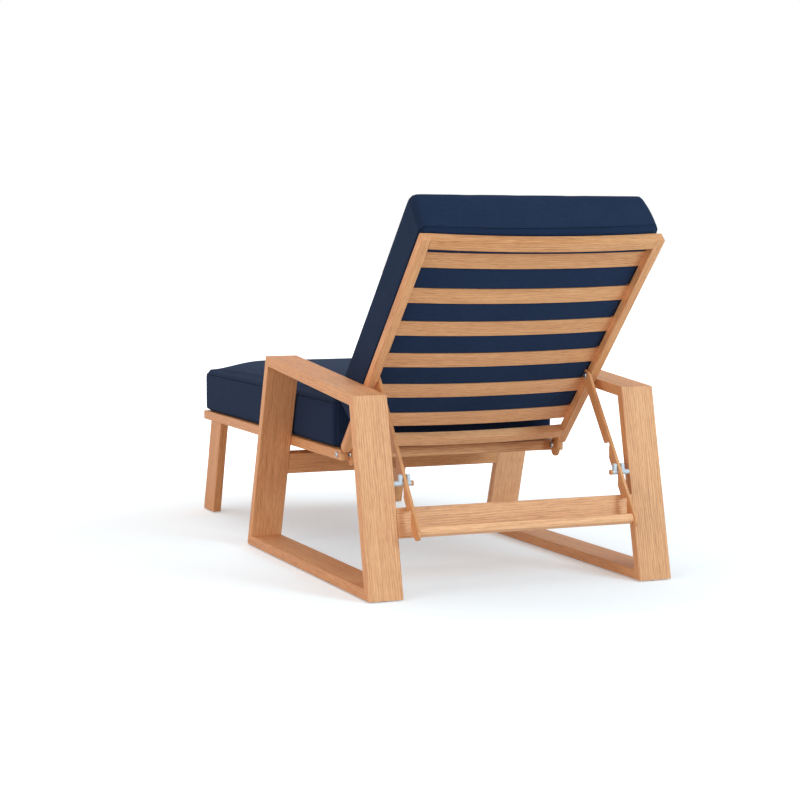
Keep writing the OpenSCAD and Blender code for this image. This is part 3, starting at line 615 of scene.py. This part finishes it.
def seams(pad, surface, stitching_and_shade):
    """The tubes of a cushion's two rolled seams, and those of its near-black stitching. The stitching is
    partly thread and partly painted shade: it draws the dark line of shade along each seam.

    The stitching shows just above the low seam, or up the corners and under the high seam."""
    low_roll, high_roll = 0.0018, 0.00126
    low_shade_thread, high_shade_thread, corner_shade_thread = 0.0015, 0.0007, 0.0009
    above_low, under_high = 0.0034, 0.0032
    beside, beyond = 0.0006, 0.001
    low, high = pad.seam_heights()

    def on_cover(path, closed):
        """Puts a path on the cover, and smooths it along its length."""
        path = np.array([surface.find_nearest(Vector(p))[0] for p in pad.bend(path)])
        for _ in range(3):
            eased = 0.25 * np.roll(path, 1, 0) + 0.5 * path + 0.25 * np.roll(path, -1, 0)
            if not closed:
                eased[[0, -1]] = path[[0, -1]]
            path = eased
        return path

    half_x, half_y = pad.half_x + beside, pad.half_y + beyond
    around = outline(half_x, half_y, pad.corner, pad.draw, side=60, corner=12)

    def round_at(height, radius):
        level = np.column_stack([around, np.full(len(around), height)])
        return tube(on_cover(level, True), radius, True)

    rolls = [round_at(low, low_roll), round_at(high, high_roll)]
    if stitching_and_shade == "low":
        return rolls, [round_at(low + above_low, low_shade_thread)]
    stitches_and_seam_shade = [round_at(high - under_high, high_shade_thread)]
    for cx, cy in pad.corner_places():
        upward = np.linspace((cx, cy, low), (cx, cy, high), 24)
        stitches_and_seam_shade.append(tube(on_cover(upward, False), corner_shade_thread, False))
    return rolls, stitches_and_seam_shade


def joined(tubes):
    """Several tubes as one set of points and faces."""
    starts = np.cumsum([0] + [len(verts) for verts, _ in tubes])
    verts = np.concatenate([verts for verts, _ in tubes])
    return verts, np.concatenate([faces + start for (_, faces), start in zip(tubes, starts)])


# Near-black thread. It is partly the real stitching and partly painted shade: it is laid as tubes where
# the seams hold a dark line of shade.
thread_and_seam_shade, shader = finish("thread_and_seam_shade")
twist = shader.spot().grain((700.0, 700.0, 700.0))
shader.feed(
    Base_Color=shader.blend(twist, (0.0030, 0.0052, 0.0130, 1), (0.0062, 0.0102, 0.0230, 1)),
    Roughness=0.9, Specular_IOR_Level=0.05,
)


def make_cushion(pad, body, node, material, voxel, stitching_and_shade):
    """Makes a cushion level, lays it in its place and returns its three pieces.

    They are the filled cover, which stands for the CAD node, the rolled seams and the stitching. The
    stitching's near-black tubes are partly thread and partly painted shade along the seams."""
    piece = mesh_piece(pad.name, *block_form(pad))
    plump(piece, voxel)
    filled = trim(pad, rows_of(piece, "co"))
    points = pad.bend(sink_seams(pad, filled, rows_of(piece, "normal")))
    surface = BVHTree.FromPolygons(points.tolist(), [list(p.vertices) for p in piece.data.polygons])
    piece.data.vertices.foreach_set("co", pad.laid(points).ravel())
    piece.data.polygons.foreach_set("use_smooth", np.full(len(piece.data.polygons), True))
    piece.data.materials.append(material)
    piece.data.update()
    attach(piece, body)
    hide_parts(node)
    pieces = [piece]
    rolls, stitches_and_seam_shade = seams(pad, surface, stitching_and_shade)
    for part, tubes, cloth in (("rolls", rolls, material), ("stitches_and_seam_shade", stitches_and_seam_shade, thread_and_seam_shade)):
        verts, faces = joined(tubes)
        pieces.append(mesh_piece(f"{pad.name}_{part}", pad.laid(verts), faces))
        pieces[-1].data.materials.append(cloth)
        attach(pieces[-1], body)
    return pieces


def seat_bend(points):
    """Lets the underside down by its sag between the side rails, on to the slats."""
    sag, sag_height = 0.0019, 0.03
    slat_end, rail_face = 0.270, 0.286
    last_slat, cushion_end = 0.53, 0.555
    x, y, z = points.T
    inside = (1 - ease(np.abs(x), slat_end, rail_face)) * (1 - ease(np.abs(y), last_slat, cushion_end))
    return np.column_stack([x, y, z - sag * inside * (1 - ease(z, 0.0, sag_height))])


seat_pad = Cushion(
    "seat_pad", half_x=0.3095, half_y=0.5720, thick=0.122, crown=0.033, draw=0.003, foot=0.010,
    bend=seat_bend, turned=0.0, origin=(0.0, -0.2838, 0.3083),
)
seat_cloth = navy_cloth("navy_seat", turned=(0.0, 0.0, 0.0))
for piece in make_cushion(seat_pad, "base", "seat_cushion", seat_cloth, voxel=0.0075, stitching_and_shade="corners"):
    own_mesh(piece)

# The back cushion: a boxed cushion of the same make. It lies on the bowed slats and swells out
# a little between them, and both of its ends are slanted.
back_half_x, back_thick = 0.3085, 0.109
slat_bow, bow_half_width = 0.009, 0.300
back_face = Vector((0, -math.sin(back_angle), math.cos(back_angle)))
hinge_pin = Vector(next(joint["pos_m"] for joint in frame["joints"] if joint["name"] == "back_recline"))


def span(node, way):
    """Where a CAD node begins and ends along a way from the hinge pin."""
    along = (rows_of(frame["nodes"][node], "co") - np.array(hinge_pin)) @ np.array(way)
    return along.min(), along.max()


rail_low = span("back_top_rail", back_run)[0]
slats = [span(f"back_slat_{i}", back_run) for i in range(1, 7)]
back_low, back_high = span("back_cushion", back_run)
back_mid = (back_low + back_high) / 2
rear_face = span("back_cushion", back_face)[0]


def bow_at(x):
    """How far the slats stand to the rear at x: a parabola, widest in the middle."""
    return slat_bow * np.maximum(0, 1 - (x / bow_half_width) ** 2)


def swell_at(up):
    """How far the cover swells out between the slats: a depth times smooth steps, from nothing on
    a slat to all of it past the slat's shoulders, and to nothing below the top rail."""
    depth, lap, shoulder = 0.0030, 0.0005, 0.0075
    rail_shoulder, rail_clear = 0.007, 0.001
    share = 1 - ease(up, rail_low - rail_shoulder, rail_low - rail_clear)
    for low, top in slats:
        above = ease(up, top - lap, top + shoulder)
        below = 1 - ease(up, low - shoulder, low + lap)
        share = share * (above + below)
    return depth * share


def slant_at(x, up, z):
    """How far the ends move along the cushion: straight slants, faded in by smooth steps.

    The lower end slants over the thickness, and the rear of the upper end over the width."""
    low_reach, low_shift, low_slope, low_height = 0.12, 0.011, 0.20, 0.009
    top_start, top_full, top_depth = 0.68, 0.755, 0.095
    top_shift, top_slope = 0.0075, 0.0115
    at_low = 1 - ease(up, back_low, back_low + low_reach)
    at_top = ease(up, top_start, top_full) * (1 - ease(z, 0.0, top_depth))
    return at_low * (low_shift - low_slope * (z - low_height)) - at_top * (top_shift + top_slope * x)


def corner_draw(x, up, z):
    """How far the upper right corner is drawn in: a parabola over the thickness, faded in by
    smooth steps over the width and up the back."""
    side_start, corner_start, corner_full = 0.22, 0.655, 0.760
    least, more, least_share = 0.0035, 0.0075, 0.40
    draw = least + more * ((z / back_thick - least_share) / (1 - least_share)) ** 2
    return ease(-x, side_start, back_half_x) * ease(up, corner_start, corner_full) * draw


def tuck_at(x, up, z):
    """How far three small tucks draw the upper front edge down: the sum of a bell curve each."""
    edge_start, edge_full = 0.735, 0.755
    front_start, front_full = 0.080, 0.105
    width = 0.010
    tucks = ((0.164, 0.0018), (0.036, 0.0014), (-0.100, 0.0018))
    bells = sum(depth * np.exp(-(((x - place) / width) ** 2)) for place, depth in tucks)
    return ease(up, edge_start, edge_full) * ease(z, front_start, front_full) * bells


def back_bend(points):
    """Rests the rear face on the bowed slats and lets it swell between them, then slants the ends
    and draws in the corner and the tucks."""
    rear_depth, slat_end, rail_face = 0.04, 0.270, 0.287
    x, y, z = points.T
    up = y + back_mid
    on_slats = (1 - ease(z, 0.0, rear_depth)) * (1 - ease(np.abs(x), slat_end, rail_face))
    z = z - on_slats * (bow_at(x) + swell_at(up))
    y = y + slant_at(x, up, z)
    x = x + corner_draw(x, up, z)
    y = y - tuck_at(x, up, z)
    return np.column_stack([x, y, z])


back_pad = Cushion(
    "back_pad", half_x=back_half_x, half_y=0.3445, thick=back_thick, crown=0.020, draw=0.0005,
    foot=0.004, bend=back_bend, turned=back_angle,
    origin=tuple(hinge_pin + back_run.normalized() * back_mid + back_face * rear_face),
)
back_cloth = navy_cloth("navy_back", turned=(-back_angle, 0.0, 0.0))
make_cushion(back_pad, "back", "back_cushion", back_cloth, voxel=0.007, stitching_and_shade="low")

# The cover between the slats: the foam presses it out a little to the rear, in one pillow per
# gap that ends close to the slats' edges and to the side rails.


def pillow(name, low, high):
    """A strip of cover in the gap from low to high, pressed out by the product of two blunt arches.

    Each arch is the square root of 1 minus an even power of the way from the middle, and the
    strip follows the bow of the slats."""
    half_width, depth, tuck = 0.2868, 0.0075, 0.001
    columns, rows = 91, 31
    x = half_width * np.sin(math.pi / 2 * np.linspace(-1, 1, columns))
    u = np.sin(math.pi / 2 * np.sin(math.pi / 2 * np.linspace(-1, 1, rows)))
    x, u = np.meshgrid(x, u, indexing="ij")
    arch = np.sqrt(1 - u**30) * np.sqrt(1 - (x / half_width) ** 60)
    y = (low + high) / 2 + u * (high - low) / 2 - back_mid
    z = tuck - bow_at(x) - (depth + tuck) * arch
    points = np.column_stack([x.ravel(), y.ravel(), z.ravel()])
    i, j = np.meshgrid(np.arange(columns - 1) * rows, np.arange(rows - 1), indexing="ij")
    faces = np.stack([i + j, i + j + 1, i + rows + j + 1, i + rows + j], -1).reshape(-1, 4)
    strip = mesh_piece(name, back_pad.laid(points), faces)
    strip.data.materials.append(back_cloth)
    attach(strip, "back")


rail_clear, slat_clear_above, slat_clear_below = 0.0045, 0.0025, 0.0010
highs = [rail_low - rail_clear] + [low - slat_clear_above for low, _ in slats[:-1]]
lows = [top + slat_clear_below for _, top in slats]
for i, (high, low) in enumerate(zip(highs, lows)):
    pillow(f"cover_pillow_{i + 1}", low, high)
